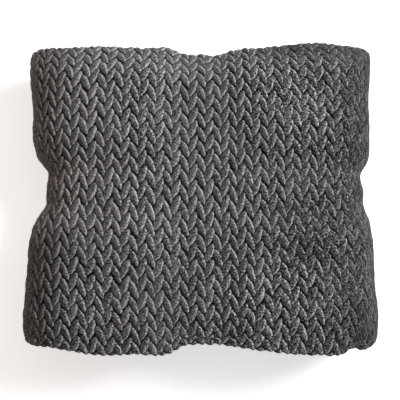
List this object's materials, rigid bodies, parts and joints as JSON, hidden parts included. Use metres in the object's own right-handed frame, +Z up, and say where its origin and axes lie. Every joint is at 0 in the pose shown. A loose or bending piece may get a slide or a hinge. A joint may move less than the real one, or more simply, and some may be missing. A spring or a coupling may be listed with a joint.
{
  "type": "folded throw blanket",
  "caption": "Charcoal plush throw blanket with a raised braided knit-look relief, folded and rolled over into a soft square pack that lies flat.",
  "frame": {"origin": "centre of the underside of the folded pack's bounding box", "axes": "+X across the pack from its left roll to its right roll, +Y from the front, where the hems and tight folds lie, to the rounded back, +Z up out of the top face"},
  "size_m": [0.365, 0.3236, 0.1015],
  "materials": {
    "plush_fleece": "embossed charcoal plush with a soft directional pile"
  },
  "bodies": {
    "root": {"throw": "plush_fleece"}
  },
  "joints": []
}
